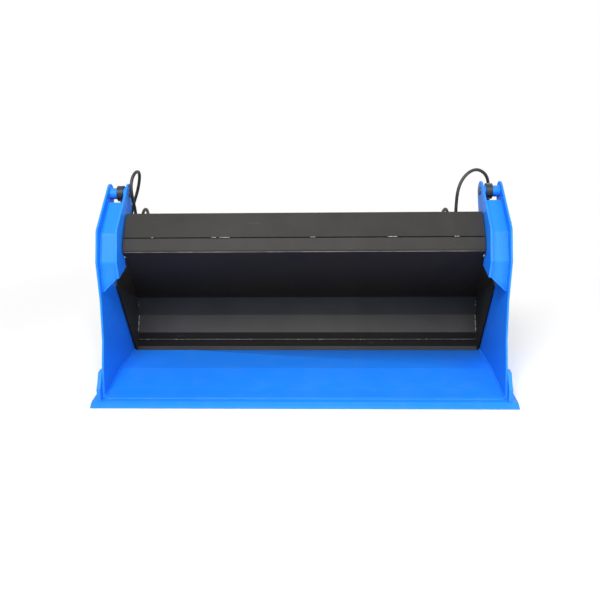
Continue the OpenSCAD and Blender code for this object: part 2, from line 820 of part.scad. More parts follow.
// Cylinders
module barrel() {
    color("black") difference() {
        union() {
            in_cylinder((eye_r + base_pin_d / 2) / 2) drum(lug_r - base_pin_d / 2, neck_r);
            in_cylinder(lug_r + bore_clear) drum(barrel_top - lug_r - bore_clear, barrel_d / 2);
            rod_x(cyl_x - eye_w / 2, eye_w, eye_r, base);
            for (s = [base_port_s, gland_port_s]) in_cylinder(s) rotate([-90, 0, 0])
                drum(barrel_d / 2 + port_l, port_r);
        }
        in_cylinder(tube_from) drum(barrel_top, bore_d / 2);
        rod_x(cyl_x - eye_w, 2 * eye_w, base_pin_d / 2 + run_gap, base);
        for (s = [base_port_s, gland_port_s]) in_cylinder(s) rotate([-90, 0, 0])
            drum(barrel_d, port_bore_r);
    }
}

module gland() {
    color("dimgray") difference() {
        union() {
            in_cylinder(gland_from) drum(gland_l + over, bore_d / 2);
            in_cylinder(barrel_top) drum(gland_head, barrel_d / 2 + gland_head_over);
        }
        in_cylinder(gland_from - over) drum(gland_l + gland_head + 2 * over, rod_d / 2 + run_gap);
    }
}

module port_elbows() {
    color("silver") for (s = [base_port_s, gland_port_s]) {
        in_cylinder(s, barrel_d / 2 + port_l) rotate([-90, 0, 0])
            drum(elbow_off - barrel_d / 2 - port_l, elbow_r);
        in_cylinder(s, elbow_off) sphere(r = elbow_r + ball_over, $fn = round_n);
        in_cylinder(s, elbow_off) drum(elbow_l, elbow_r);
        in_cylinder(s + elbow_l - nut_l, elbow_off) cylinder(r = nut_r, h = nut_l, $fn = 6);
    }
}

module rod() {
    color("silver") difference() {
        union() {
            in_cylinder(piston_s + piston_l) drum(rod_end_s - piston_s - piston_l, rod_d / 2);
            in_cylinder(piston_s) drum(piston_l + over, spigot_share * rod_d / 2);
            rod_x(cyl_x - rod_eye_w / 2, rod_eye_w, rod_eye_r, ear);
        }
        rod_x(cyl_x - rod_eye_w, 2 * rod_eye_w, ear_pin_d / 2 + run_gap, ear);
    }
}

module piston() {
    color("dimgray") difference() {
        in_cylinder(piston_s) drum(piston_l, bore_d / 2 - run_gap);
        in_cylinder(piston_s - over) drum(piston_l + 2 * over, spigot_share * rod_d / 2 + run_gap);
    }
}

module eye_pin() {
    color("dimgray") rod_x(cyl_x - rod_eye_w / 2, rod_eye_w, ear_pin_d / 2, ear);
}

// Hoses: a ring of points is carried along a smooth curve through the route
function smooth(p, i, t) =
    let (a = p[max(i - 1, 0)], b = p[i], c = p[i + 1], d = p[min(i + 2, len(p) - 1)])
    0.5 * (2 * b + (c - a) * t + (2 * a - 5 * b + 4 * c - d) * t * t + (3 * b - a - 3 * c + d) * t * t * t);
function curve(p) = concat([for (i = [0:len(p) - 2], k = [0:hose_steps - 1]) smooth(p, i, k / hose_steps)],
    [p[len(p) - 1]]);
function heading(p, i) = unit(p[min(i + 1, len(p) - 1)] - p[max(i - 1, 0)]);
function ring(c, d, r) = let (u = unit(cross(d, [1, 0.2, 0])), v = cross(d, u))
    [for (k = [0:hose_sides - 1]) c + r * (u * cos(360 * k / hose_sides) + v * sin(360 * k / hose_sides))];

module hose(route, first, last) {
    p = curve(route);
    n = len(p);
    points = [for (i = [0:n - 1])
        each ring(p[i], i == 0 ? first : i == n - 1 ? last : heading(p, i), hose_d / 2)];
    walls = [for (i = [0:n - 2], k = [0:hose_sides - 1])
        let (a = i * hose_sides + k, b = i * hose_sides + (k + 1) % hose_sides)
        each [[a, b, a + hose_sides], [b, b + hose_sides, a + hose_sides]]];
    start = [[for (k = [hose_sides - 1:-1:0]) k]];
    finish = [[for (k = [0:hose_sides - 1]) (n - 1) * hose_sides + k]];
    color("black") polyhedron(points, concat(walls, start, finish));
}

// The route from the pipe's riser to a port elbow, met square at both ends
module free_hose(route, x, top, s, side) {
    out = [0, along.x, along.y];
    tail = outlet(s, side);
    hose(concat([[x, pipe_y, top]], route, [tail + nut_l * out, tail]), [0, 0, 1], -out);
}

placed() jaw_floor();
placed() cutting_edge();
placed() heel_bar();
placed() hand(-1) side_plate();  // side_plate_left
placed() hand(1) side_plate();  // side_plate_right
placed() hand(-1) side_cutter();  // side_cutter_left
placed() hand(1) side_cutter();  // side_cutter_right
placed() hand(-1) arm_plate();  // arm_plate_left
placed() hand(1) arm_plate();  // arm_plate_right
placed() hand(-1) arm_cover();  // arm_cover_left
placed() hand(1) arm_cover();  // arm_cover_right
placed() hand(-1) arm_foot();  // arm_foot_left
placed() hand(1) arm_foot();  // arm_foot_right
placed() hand(-1) pivot_tube();  // pivot_tube_left
placed() hand(1) pivot_tube();  // pivot_tube_right
placed() hand(-1) pivot_pin();  // pivot_pin_left
placed() hand(1) pivot_pin();  // pivot_pin_right
placed() pivot_bolts();
placed() hand(-1) ear_boss();  // ear_boss_left
placed() hand(1) ear_boss();  // ear_boss_right
placed() hand(-1) ear_pin();  // ear_pin_left
placed() hand(1) ear_pin();  // ear_pin_right
placed() grease_nipples();
placed() beam_face();
placed() moldboard();
placed() beam_back();
placed() beam_caps();
placed() pivot_bushes();
placed() blade_bar();
placed() hand(-1) end_plate();  // end_plate_left
placed() hand(1) end_plate();  // end_plate_right
placed() corner_closures();
placed() cylinder_lugs();
placed() back_ribs();
placed() lower_tube();
placed() hitch_plates();
placed() hitch_bar();
placed() base_pins();
placed() pipe_clamps();
placed() oil_pipes();
placed() coupler_bracket();
placed() quick_couplers();
placed() hand(-1) barrel();  // barrel_left
placed() hand(1) barrel();  // barrel_right
placed() hand(-1) gland();  // gland_left
placed() hand(1) gland();  // gland_right
placed() hand(-1) port_elbows();  // port_elbows_left
placed() hand(1) port_elbows();  // port_elbows_right
placed() hand(-1) rod();  // rod_left
placed() hand(1) rod();  // rod_right
placed() hand(-1) piston();  // piston_left
placed() hand(1) piston();  // piston_right
placed() hand(-1) eye_pin();  // eye_pin_left
placed() hand(1) eye_pin();  // eye_pin_right
placed()  // upper_hose_left
    free_hose(hose_left_up, -left_return_x, return_top, gland_port_s, -1);
placed()  // upper_hose_right
    free_hose(hose_right_up, right_return_x, return_top, gland_port_s, 1);
placed()  // lower_hose_left
    free_hose(hose_left_low, -left_feed_x, feed_top, base_port_s, -1);
placed()  // lower_hose_right
    free_hose(hose_right_low, right_feed_x, feed_top, base_port_s, 1);
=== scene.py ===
# %% [markdown]
# A hydraulic opening bucket for a small loader: a blue jaw hinged on a black back frame.
# Two cylinders in the jaw's hollow arms swing it forward, so the bucket can grab and dump.
# Its solids are drawn in CAD and stay as they are. They could be modelled again here, but
# then every pin would have to be fitted by eye. Loaded, each solid is where it belongs, and
# this file only dresses it with paint, welds, hoses and light.

# %% Load the packed solids
import math

import bpy
from mathutils import Matrix, Vector
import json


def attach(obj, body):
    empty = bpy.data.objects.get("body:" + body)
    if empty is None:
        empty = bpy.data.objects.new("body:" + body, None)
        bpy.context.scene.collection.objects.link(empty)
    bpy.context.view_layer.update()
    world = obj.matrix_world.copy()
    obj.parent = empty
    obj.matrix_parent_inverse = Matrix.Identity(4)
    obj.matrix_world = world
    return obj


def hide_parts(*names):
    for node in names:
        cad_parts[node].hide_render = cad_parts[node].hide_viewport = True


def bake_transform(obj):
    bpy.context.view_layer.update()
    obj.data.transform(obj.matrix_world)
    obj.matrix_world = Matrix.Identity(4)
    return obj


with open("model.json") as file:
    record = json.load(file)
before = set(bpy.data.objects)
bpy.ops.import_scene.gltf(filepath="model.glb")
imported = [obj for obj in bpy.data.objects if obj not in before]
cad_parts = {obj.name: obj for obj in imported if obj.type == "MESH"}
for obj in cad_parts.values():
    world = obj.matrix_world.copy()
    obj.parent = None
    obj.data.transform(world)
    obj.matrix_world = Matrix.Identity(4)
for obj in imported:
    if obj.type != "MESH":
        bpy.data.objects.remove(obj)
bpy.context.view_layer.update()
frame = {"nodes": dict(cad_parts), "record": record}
nodes = frame["nodes"]
print(len(nodes), "solids loaded")

# %% [markdown]
# The CAD drawing counts in millimetres, from the cutting edge at Y = 0. The scene counts in
# metres, from the middle of the bucket. One small function turns the first into the second,
# so that the numbers below can be checked against the drawing. A pin is a (Y, Z) pair,
# because it lies along X. The cylinders' direction follows from the two pins they hang on.

# %% Points of the drawing
MIDDLE_Y = 0.373


def at(x, y, z):
    """A point of the drawing, in millimetres, as a place in the scene, in metres."""
    return Vector((x / 1000, y / 1000 - MIDDLE_Y, z / 1000))


HINGE = (330, 652)
EAR = (423, 767)
BASE_PIN = (560, 370)
CYLINDER_X = 750
ROD_EYE_R = 0.032
ALONG = (at(0, *EAR) - at(0, *BASE_PIN)).normalized()
ASIDE = Vector((0, ALONG.z, -ALONG.y))
CLOSED = (at(0, *EAR) - at(0, *BASE_PIN)).length
print("cylinders closed at", round(CLOSED, 4), "m between their pins")

# %% [markdown]
# The photographer stood a little right of the middle and looked down by about 20 degrees.
# A camera could be turned by hand until the picture looks alike. Here its place comes from
# a fit of twenty corners of the bucket to the picture, so that render and photograph can be
# laid over each other and compared edge by edge.

# %% Camera
PITCH, YAW, ROLL = math.radians(19.84), math.radians(2.01), math.radians(-0.81)
STAND = at(80, -2419, 1325)

flat_right = Vector((math.cos(YAW), math.sin(YAW), 0))
flat_ahead = Vector((-math.sin(YAW), math.cos(YAW), 0))
sky = Vector((0, 0, 1))
ahead = flat_ahead * math.cos(PITCH) - sky * math.sin(PITCH)
over = sky * math.cos(PITCH) + flat_ahead * math.sin(PITCH)
cam_right = flat_right * math.cos(ROLL) + over * math.sin(ROLL)
cam_up = over * math.cos(ROLL) - flat_right * math.sin(ROLL)
turn = Matrix((cam_right, cam_up, -ahead)).transposed().to_4x4()

camera = bpy.data.objects.new("camera", bpy.data.cameras.new("camera"))
camera.data.lens = 42
camera.data.sensor_width = 36
camera.matrix_world = Matrix.Translation(STAND) @ turn
bpy.context.scene.collection.objects.link(camera)
bpy.context.scene.camera = camera
bpy.context.scene.view_settings.view_transform = "Standard"
print("camera at", [round(v, 3) for v in camera.location])

# %% [markdown]
# Every finish below is built from noise and sums on its sockets. Blender's node editor does
# this with wires. A small class that stands for a socket lets the sums be written as sums:
# an expression such as 0.4 + 0.1 * wear adds its two Math nodes by itself.


# %% Sums on sockets
class Level:
    """A number on a shader socket. Sums on it add Math nodes to its finish."""

    def __init__(self, finish, socket):
        self.finish = finish
        self.socket = socket

    def sum(self, operation, first, second=0.0):
        node = self.finish.node("ShaderNodeMath", {"operation": operation}, {0: first, 1: second})
        return Level(self.finish, node.outputs[0])

    def __add__(self, other):
        return self.sum("ADD", self, other)

    __radd__ = __add__

    def __mul__(self, other):
        return self.sum("MULTIPLY", self, other)

    __rmul__ = __mul__

    def __sub__(self, other):
        return self.sum("SUBTRACT", self, other)

    def __rsub__(self, other):
        return self.sum("SUBTRACT", other, self)

    def clamp(self):
        """Nothing below 0 and nothing above 1, as a mask needs."""
        return self.sum("MINIMUM", self.sum("MAXIMUM", self, 0.0), 1.0)

    def rise(self, low, high):
        """0 below low, 1 above high, straight in between."""
        return ((self - low) * (1 / (high - low))).clamp()

    def sine(self):
        return self.sum("SINE", self)


print("a Level knows", ", ".join(name for name in vars(Level) if name[0] != "_"))

# %% [markdown]
# A finish is one material. What is the same all over goes on the shader's own sockets when
# it is made. What changes over the surface comes from nodes, and one method adds any of
# them. The object's own coordinates place the noise, so that it neither swims when the jaw
# moves nor needs the surface to be unwrapped.


# %% A material and its nodes
class Finish:
    """A material, its shader and the one method that adds nodes to it."""

    def __init__(self, name, **shader):
        self.name = name
        self.material = bpy.data.materials.new(name)
        self.material.use_nodes = True
        self.tree = self.material.node_tree
        self.shader = self.tree.nodes["Principled BSDF"]
        for socket, value in shader.items():
            self.shader.inputs[socket.replace("_", " ")].default_value = value
        place = self.node("ShaderNodeTexCoord")
        self.place, self.facing = place.outputs["Object"], place.outputs["Normal"]

    def node(self, kind, settings=None, sockets=None):
        """A node of a kind, with its settings first and then its sockets' values or links."""
        node = self.tree.nodes.new(kind)
        for key, value in (settings or {}).items():
            setattr(node, key, value)
        for key, value in (sockets or {}).items():
            self.feed(node.inputs[key], value)
        return node

    def feed(self, socket, value):
        if isinstance(value, Level):
            value = value.socket
        if isinstance(value, bpy.types.NodeSocket):
            self.tree.links.new(value, socket)
        elif socket.type == "RGBA" and len(value) == 3:
            socket.default_value = (*value, 1)
        else:
            socket.default_value = value

    def show(self, socket, value):
        self.feed(self.shader.inputs[socket], value)

    def noise(self, scale, detail=2.0, rough=0.5, place=None):
        place = place or self.place
        sockets = {"Vector": place, "Scale": scale, "Detail": detail, "Roughness": rough}
        return Level(self, self.node("ShaderNodeTexNoise", None, sockets).outputs[0])

    def stretched(self, x, y, z):
        """The object's coordinates drawn out, for marks that run along one axis."""
        sockets = {0: self.place, 1: (x, y, z)}
        return self.node("ShaderNodeVectorMath", {"operation": "MULTIPLY"}, sockets).outputs[0]

    def along(self, axis, vector=None):
        """One coordinate of the place, or of another vector such as the way a face looks."""
        node = self.node("ShaderNodeSeparateXYZ", None, {0: vector or self.place})
        return Level(self, node.outputs[axis])

    def mix(self, mask, first, second):
        sockets = {"Factor": mask, 6: first, 7: second}
        return self.node("ShaderNodeMix", {"data_type": "RGBA"}, sockets).outputs[2]

    def bump(self, height, distance, strength=1.0):
        sockets = {"Height": height, "Distance": distance, "Strength": strength}
        self.show("Normal", self.node("ShaderNodeBump", None, sockets).outputs[0])


FINISHES = {}


def keep(finish):
    """Files a finish under its name, for the pieces that will wear it."""
    FINISHES[finish.name] = finish.material
    print(finish.name, "is made of", len(finish.tree.nodes), "nodes")


print("a Finish knows", ", ".join(name for name in vars(Finish) if name[0] != "_"))

# %% [markdown]
# A picture stores colours bent for the eye, and a shader works in straight amounts of light.
# Without the conversion every colour would come out too pale.


# %% Colours
def srgb(red, green, blue):
    """A picture's colour, 0 to 255, as the linear light that a shader works in."""
    return tuple(
        ((v / 255 + 0.055) / 1.055) ** 2.4 if v > 10 else v / 255 / 12.92
        for v in (red, green, blue)
    )


print("the jaw's blue in linear light:", [round(v, 3) for v in srgb(27, 126, 243)])

# %% [markdown]
# The jaw's blue is a thick sprayed coat: glossy, with the fine ripple called orange peel,
# a slight drift of tone from pass to pass, and rub marks low down where it has been set down.
# The ripple could be displaced into the mesh, but at a tenth of a millimetre it is far too
# fine to be a shape, so it is a bump.

# %% Blue paint
blue = Finish("blue_paint", Roughness=0.42, Specular_IOR_Level=0.25)
drift = blue.noise(1.6, 2)
body = blue.mix(drift.rise(0.3, 0.75), srgb(27, 126, 243), srgb(33, 132, 247))
scuff = blue.noise(38, 5, 0.7, blue.stretched(0.25, 1, 1)).rise(0.66, 0.74)
low = 1 - blue.along(2).rise(0.02, 0.16)
dust = blue.noise(14, 4, 0.6).rise(0.45, 0.8) * low * 0.08
body = blue.mix(scuff * 0.08, body, srgb(96, 176, 255))
blue.show("Base Color", blue.mix(dust, body, srgb(120, 160, 200)))
blue.show("Roughness", 0.38 + 0.08 * drift + 0.15 * scuff * low + 0.2 * dust)
blue.bump(blue.noise(420, 1) * 0.6 + blue.noise(120, 1) * 0.4, 0.0001, 0.4)
keep(blue)

# %% [markdown]
# The back frame wears a thinner satin black over rolled sheet. It catches the light broadly,
# so its facets read as greys. Thin scratches run along the sheet and fine specks sit on it.
# Three places differ, and masks find them by the way a face looks and by its height. Faces that
# look down are painted darker, as painted shade, and warmer, which evens out the blue light that
# the jaw throws up at them. The upright strip at the foot is painted darker too, as painted
# shade. The low ledges that look up are painted paler, as painted light.

# %% Black paint
black = Finish("black_paint", Roughness=0.55, Specular_IOR_Level=0.14)
cloud = black.noise(5, 4, 0.6)
patches = cloud.rise(0.35, 0.7)
height = black.along(2)
looks_up, looks_back = black.along(2, black.facing), black.along(1, black.facing)
body = black.mix(patches, srgb(43, 42, 40), srgb(51, 50, 48))
# Painted shade: faces that look down get a darker base, and a warmer one that offsets the blue
# light thrown up from the jaw.
painted_underside_shade = (0 - looks_up).rise(0.25, 0.45)
body = black.mix(painted_underside_shade, body, black.mix(patches, srgb(36, 29, 16), srgb(42, 34, 20)))
# Painted shade: the upright strip at the foot that faces forward, from about 28 to 90 mm high,
# gets a dark base.
foot = (0 - looks_back).rise(0.88, 0.93) * height.rise(0.024, 0.028)
foot = foot * (1 - height.rise(0.09, 0.094))
body = black.mix(foot, body, srgb(22, 20, 17))
# Painted light: faces that look up, below about 0.2 m, get a paler base.
painted_ledge_light = looks_up.rise(0.35, 0.45) * (1 - height.rise(0.17, 0.22))
body = black.mix(painted_ledge_light, body, black.mix(patches, srgb(57, 55, 52), srgb(65, 63, 60)))
scratch = black.noise(60, 6, 0.75, black.stretched(0.12, 1, 1)).rise(0.66, 0.71)
speck = black.noise(900, 1).rise(0.72, 0.8)
body = black.mix(scratch * 0.22, body, srgb(118, 116, 112))
black.show("Base Color", black.mix(speck * 0.15, body, srgb(140, 138, 134)))
black.show("Roughness", 0.5 + 0.12 * cloud + 0.1 * scratch)
black.bump(black.noise(300, 2) * 0.7 + black.noise(60, 1) * 0.3, 0.00015, 0.5)
keep(black)

# %% [markdown]
# Pins and pipes are plain steel, darkened by oil, with a first bloom of rust. Metal has no
# colour of its own under its shine, so Metallic is high and the stain changes the colour of
# the reflection.

# %% Oiled steel
steel = Finish("dark_steel", Metallic=0.85, Roughness=0.4)
stain = steel.noise(22, 5, 0.65)
rust = steel.noise(70, 5, 0.7).rise(0.55, 0.75)
body = steel.mix(stain.rise(0.3, 0.7), srgb(72, 68, 66), srgb(104, 100, 96))
steel.show("Base Color", steel.mix(rust * 0.4, body, srgb(92, 58, 38)))
steel.show("Roughness", 0.32 + 0.3 * stain + 0.15 * rust)
steel.bump(steel.noise(500, 2) + rust * 0.5, 0.0001, 0.5)
keep(steel)

# %% [markdown]
# A cylinder's rod is ground and chromed, and the forged eye welded to its end is painted
# black. Rod and eye are one solid, so one finish does both. It could be split by a second
# material on some faces, but a mask needs no picking: it measures how far each point lies
# along the cylinder, and turns to paint at the eye.

# %% Chrome and the painted eye
rod = Finish("chromed_rod", Metallic=1.0, Roughness=0.12)
base = at(0, *BASE_PIN)
reach = rod.along(1) * ALONG.y + rod.along(2) * ALONG.z - (base.y * ALONG.y + base.z * ALONG.z)
eye = reach.rise(CLOSED - ROD_EYE_R - 0.001, CLOSED - ROD_EYE_R)
film = rod.noise(18, 3)
chrome = rod.mix(film.rise(0.3, 0.8), srgb(205, 207, 210), srgb(178, 178, 176))
paint = rod.mix(rod.noise(60, 4, 0.6).rise(0.3, 0.7), srgb(18, 18, 20), srgb(30, 30, 32))
rod.show("Base Color", rod.mix(eye, chrome, paint))
rod.show("Metallic", 1 - eye)
grind = rod.noise(260, 3, 0.6, rod.stretched(1, 1, 6))
rod.show("Roughness", 0.08 + 0.1 * film + 0.05 * grind + 0.3 * eye)
rod.bump(grind, 0.00002, 0.4)
keep(rod)

# %% [markdown]
# Oil fittings are zinc plated, with the yellow tint of passivation, and the hinge's bushes
# are turned bronze. Both drift in tone, and the bronze also has the fine rings of the lathe:
# noise that is squeezed along the pin, and so looks drawn out round it.

# %% Zinc and bronze
zinc = Finish("zinc_plated", Metallic=0.9, Roughness=0.35)
tint = zinc.noise(45, 4, 0.6)
zinc.show("Base Color", zinc.mix(tint.rise(0.3, 0.7), srgb(172, 166, 148), srgb(198, 184, 132)))
zinc.show("Roughness", 0.28 + 0.2 * tint)
zinc.bump(zinc.noise(700, 2), 0.00006, 0.4)
keep(zinc)

bronze = Finish("bronze", Metallic=1.0, Roughness=0.35)
tint = bronze.noise(60, 4)
bronze.show("Base Color", bronze.mix(tint, srgb(176, 130, 72), srgb(206, 160, 96)))
bronze.show("Roughness", 0.25 + 0.2 * tint)
bronze.bump(bronze.noise(600, 2, 0.5, bronze.stretched(8, 1, 1)), 0.00005, 0.4)
keep(bronze)

# %% [markdown]
# A hydraulic hose has a wrapped rubber cover. Cloth wound round it while it cured leaves a
# faint weave. Waves along and round the hose would need coordinates of their own, so the
# weave comes from the object's place: two fine waves that cross, which read the same here.

# %% Hose rubber
rubber = Finish("hose_rubber", Roughness=0.55)
wear = rubber.noise(40, 4, 0.6)
rubber.show("Base Color", rubber.mix(wear.rise(0.4, 0.75), srgb(24, 24, 25), srgb(46, 46, 47)))
upward, sideways = rubber.along(2) * 2600, rubber.along(0) * 900
weave = (upward + sideways).sine() + (upward - sideways).sine()
rubber.show("Roughness", 0.48 + 0.15 * wear)
rubber.bump(weave * 0.25 + rubber.noise(500, 2), 0.00012, 0.6)
keep(rubber)

# %% [markdown]
# Three small finishes paint light and shade onto the frame. Some weld beads carry light grey
# metal dashes, painted highlights where the beads catch the light. A thin tube on a folded edge
# is painted paler, as a painted highlight. And where two plates only lie against each other, a
# dark tube is painted shade for the slit that no light gets into.

# %% Painted weld glints, edge highlights and slit shade
# Painted highlight: a light grey metal for weld dashes that catch the light.
weld_glint = Finish("weld_glint_paint", Metallic=0.55, Roughness=0.5)
soot = weld_glint.noise(160, 4, 0.7)
weld_glint.show("Base Color", weld_glint.mix(soot.rise(0.35, 0.65), srgb(96, 92, 88), srgb(176, 172, 166)))
weld_glint.show("Roughness", 0.4 + 0.25 * soot)
weld_glint.bump(soot, 0.0002, 0.5)
keep(weld_glint)

# Painted highlight: a paler paint for thin tubes along edges that catch the light.
edge_highlight = Finish("edge_highlight_paint", Roughness=0.4)
edge_highlight_tone = edge_highlight.noise(9, 4, 0.65)
edge_highlight.show("Base Color", edge_highlight.mix(edge_highlight_tone.rise(0.4, 0.6), srgb(66, 63, 60), srgb(112, 109, 105)))
edge_highlight.show("Roughness", 0.35 + 0.2 * edge_highlight_tone)
keep(edge_highlight)

# Painted shade: a dark matt paint for a tube that stands in for a slit's shade.
slit_shade = Finish("slit_shade_paint", Roughness=0.9, Specular_IOR_Level=0.1)
depth = slit_shade.noise(50, 3).rise(0.3, 0.7)
slit_shade.show("Base Color", slit_shade.mix(depth, srgb(11, 11, 11), srgb(20, 19, 18)))
keep(slit_shade)

# %% [markdown]
# Each solid already knows its slot of material from the record, so no solid is dressed by
# hand: its name leads to its slot, and the slot to the finish made above.

# %% Dress the solids
slot_of = {part["node"]: part["material_slot"] for part in frame["record"]["subparts"]}

for name, solid in nodes.items():
    solid.data.materials.clear()
    solid.data.materials.append(FINISHES[slot_of[name]])
print("dressed", len(nodes), "solids in", len(set(slot_of.values())), "finishes")

# %% [markdown]
# A cut plate never has a razor edge: cutting and paint leave a small round that catches
# light. It could be drawn into every solid. A bevel modifier does the same for the looks and
# leaves the solid as it is. The angle limit keeps it off the flats, and the weld before it
# joins the mesh's doubled corners, which would otherwise tear open.


# %% Cut edges
def soften(name, width):
    weld = nodes[name].modifiers.new("join", "WELD")
    weld.merge_threshold = 0.00002
    bevel = nodes[name].modifiers.new("edge", "BEVEL")
    bevel.width = width
    bevel.segments = 2
    bevel.limit_method = "ANGLE"
    bevel.angle_limit = math.radians(38)
    bevel.use_clamp_overlap = False
    bevel.harden_normals = True


SHEET_EDGE, PLATE_EDGE = 0.0008, 0.0012
PLATES = ["cutting_edge", "heel_bar", "blade_bar"] + [
    plate + side for plate in ("side_plate", "side_cutter", "arm_plate")
    for side in ("_left", "_right")
]
SHEETS = ["jaw_floor", "lower_tube"]
for name in PLATES:
    soften(name, PLATE_EDGE)
for name in SHEETS:
    soften(name, SHEET_EDGE)
print("softened the edges of", len(PLATES + SHEETS), "solids")

# %% [markdown]
# Everything that is added is a mesh made of corners and faces. One function makes the mesh, gives
# it a finish and lets it ride on a body of the bucket, so that it moves with the jaw or stays
# with the frame.


# %% A piece of mesh
def piece(name, vertices, faces, finish, body=None, smooth=True):
    mesh = bpy.data.meshes.new(name)
    mesh.from_pydata([tuple(v) for v in vertices], [], faces)
    mesh.polygons.foreach_set("use_smooth", [smooth] * len(mesh.polygons))
    mesh.materials.append(FINISHES[finish])
    thing = bpy.data.objects.new(name, mesh)
    bpy.context.scene.collection.objects.link(thing)
    if body:
        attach(thing, body)
    return thing


# %% [markdown]
# Hoses, crimps and welds are all round and follow a line. Blender's curve objects would do
# for a hose, but a crimp has steps and a weld swells and thins along its line. So one
# function lays rings of any radius along a line, and what comes out is a mesh. Each ring is
# turned as little as possible against the one before, or the tube would twist.
# A hose's line is evened out by a cubic B-spline, as a stiff hose evens out its own bends.


# %% Lines and tubes
def smooth_line(points, steps):
    """A cubic B-spline along the points, with so many steps to each."""
    first, last = 2 * points[0] - points[1], 2 * points[-1] - points[-2]
    row = [first] + points + [last]
    line = []
    for a, b, c, d in zip(row, row[1:], row[2:], row[3:]):
        for k in range(steps):
            t = k / steps
            line.append(
                (a * (1 - t) ** 3 + b * (3 * t**3 - 6 * t**2 + 4)
                 + c * (-3 * t**3 + 3 * t**2 + 3 * t + 1) + d * t**3) / 6
            )
    return line + [points[-1]]


def tube(line, radii, sides=14):
    """Rings of vertices along a line, without twist, and the faces between them."""
    vertices, faces = [], []
    heading = (line[1] - line[0]).normalized()
    side = heading.orthogonal().normalized()
    for i, point in enumerate(line):
        heading = (line[min(i + 1, len(line) - 1)] - line[max(i - 1, 0)]).normalized()
        side = (side - heading * side.dot(heading)).normalized()
        other = heading.cross(side)
        for k in range(sides):
            turn = 2 * math.pi * k / sides
            vertices.append(point + radii[i] * (side * math.cos(turn) + other * math.sin(turn)))
    for i in range(len(line) - 1):
        for k in range(sides):
            a, b = i * sides + k, i * sides + (k + 1) % sides
            faces.append((a, b, b + sides, a + sides))
    faces.append(tuple(range(sides))[::-1])
    faces.append(tuple((len(line) - 1) * sides + k for k in range(sides)))
    return vertices, faces


print("a tube of two rings has", len(tube([at(0, 0, 0), at(0, 0, 9)], [1, 1])[1]), "faces")

# %% [markdown]
# Each cylinder is fed by two hoses that leave pipe ends behind the beam: the upper one goes
# to the gland end, and the lower one to the base end. Their routes repeat the drawing's
# points, in its millimetres. The tall loops follow the photograph. The low ones show only
# their tops there, and take the easiest way down to the port.

# %% Hose routes
RISER_Y = 440
FEED_TOP, RETURN_TOP = 636, 650
GLAND_PORT, BASE_PORT = 207.013, 43.0
ROUTES = {
    "upper_hose_right": ("right", (628, RISER_Y, RETURN_TOP), GLAND_PORT, [
        (628, 440, 672), (628, 440, 715), (629, 441, 750), (636, 447, 783), (650, 457, 811),
        (673, 468, 835), (702, 478, 847), (728, 486, 841), (750, 494, 824), (764, 502, 800),
        (769, 509, 770), (768, 515, 735), (763, 519, 700), (757, 522, 665), (752, 524, 640)]),
    "upper_hose_left": ("left", (-704, RISER_Y, RETURN_TOP), GLAND_PORT, [
        (-704, 440, 672), (-704, 437, 700), (-705, 427, 729), (-705, 415, 757), (-705, 409, 786),
        (-704, 415, 812), (-700, 431, 835), (-694, 451, 848), (-688, 472, 851), (-687, 492, 842),
        (-691, 508, 820), (-699, 517, 791), (-708, 522, 763), (-718, 526, 738), (-728, 528, 714),
        (-737, 529, 691), (-744, 529, 668), (-748, 529, 648)]),
    "lower_hose_right": ("right", (572, RISER_Y, FEED_TOP), BASE_PORT, [
        (573, 444, 655), (577, 457, 671), (585, 476, 680), (595, 497, 679), (604, 517, 669),
        (612, 534, 653), (620, 547, 632), (632, 555, 610), (651, 560, 588), (676, 563, 569),
        (703, 566, 549), (727, 570, 524), (743, 576, 497)]),
    "lower_hose_left": ("left", (-651, RISER_Y, FEED_TOP), BASE_PORT, [
        (-651, 442, 656), (-654, 451, 674), (-660, 467, 685), (-669, 486, 688), (-680, 505, 683),
        (-691, 523, 671), (-700, 539, 655), (-706, 551, 634), (-711, 558, 609), (-718, 562, 581),
        (-727, 566, 552), (-735, 570, 526), (-743, 575, 500)]),
}
print(sum(len(route[3]) for route in ROUTES.values()), "points on", len(ROUTES), "routes")

# %% [markdown]
# A hose keeps its length. When the jaw opens and the barrel tips by two degrees, the hose only
# bends a little differently. Here each hose is drawn once along its route, in place of the
# drawing's hose, and rides on no body.

# %% Hoses
HOSE = 0.013
SPLINE_STEPS = 6
ELBOW_REACH, ELBOW_OFF = 30.05, 50


def outlet(side, port):
    """The open end of an elbow whose port lies so many millimetres along the cylinder."""
    foot = at(CYLINDER_X if side == "right" else -CYLINDER_X, *BASE_PIN)
    return foot + ALONG * (port + ELBOW_REACH) / 1000 + ASIDE * ELBOW_OFF / 1000


def hose(name, side, riser, port, points):
    tail = outlet(side, port)
    knots = [at(*riser)] + [at(*p) for p in points] + [tail + ALONG * 0.014, tail]
    line = smooth_line(knots, SPLINE_STEPS)
    vertices, faces = tube(line, [HOSE / 2] * len(line))
    thing = piece(name + "_cover", vertices, faces, "hose_rubber")
    length = sum((b - a).length for a, b in zip(line, line[1:]))
    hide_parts(name)
    "barrel_" + side
    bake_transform(thing)
    print(name, round(length, 3), "m")
    return line


lines = {name: hose(name, *route) for name, route in ROUTES.items()}

# %% [markdown]
# A steel sleeve is crimped on each hose end. Its profile is a list of steps along the hose,
# each with its radius, and the same tube function turns it into a shape: a collar, four
# pressed grooves and a nose. Flat shading keeps the grooves crisp.


